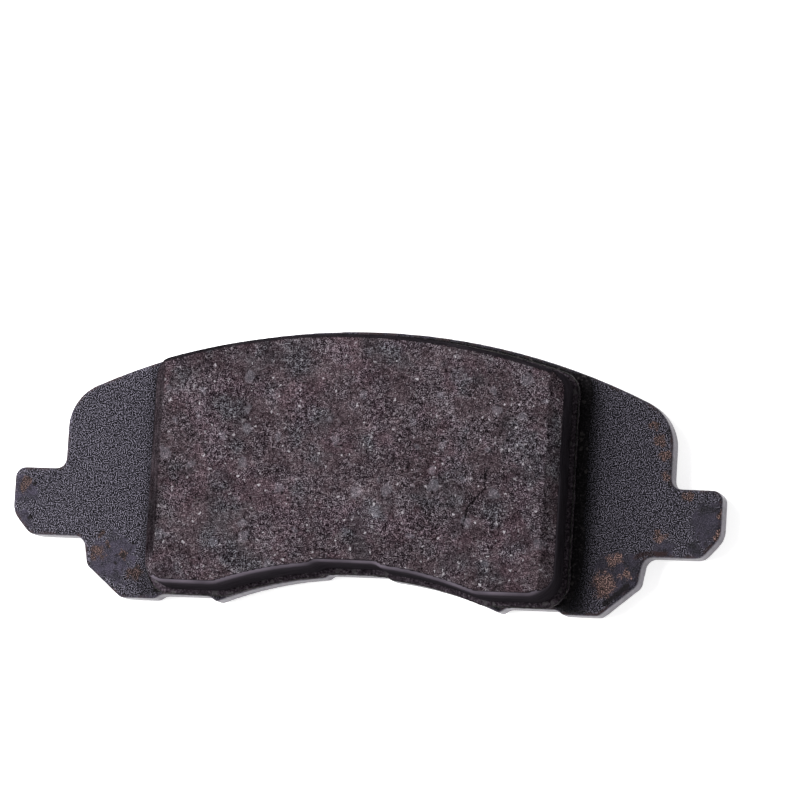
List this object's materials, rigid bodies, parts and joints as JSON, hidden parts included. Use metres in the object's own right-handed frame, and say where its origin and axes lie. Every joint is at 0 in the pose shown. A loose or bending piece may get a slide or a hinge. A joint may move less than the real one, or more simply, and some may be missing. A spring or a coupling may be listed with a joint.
{
  "type": "brake pad",
  "caption": "Disc brake pad with an eared, coated steel backing plate, a chamfered friction block on an underlayer and a layered noise shim on its back.",
  "frame": {"origin": "middle of the bounding box's bottom: the shim's outer face, midway along the pad and midway between its feet and its crown", "axes": "+X along the pad, +Y towards the outer edge of the disc, +Z out of the friction face towards the disc"},
  "size_m": [0.1378, 0.0522, 0.0173],
  "materials": {
    "powder_coated_steel": "coarse wrinkled black powder coat, worn smooth in places",
    "friction": "granular pressed composite with light and dark grains",
    "underlayer": "rough dark pressed composite",
    "bond": "rough dark cured adhesive",
    "shim_rubber": "matt rubber coating",
    "shim_steel": "cold rolled sheet",
    "shim_glue": "clear amber pressure-sensitive adhesive"
  },
  "bodies": {
    "root": {"backing_plate": "powder_coated_steel", "bond_adhesive": "bond", "underlayer": "underlayer", "friction_block": "friction", "shim_adhesive": "shim_glue", "shim_inner_rubber": "shim_rubber", "shim_steel_core": "shim_steel", "shim_outer_rubber": "shim_rubber"}
  },
  "joints": []
}
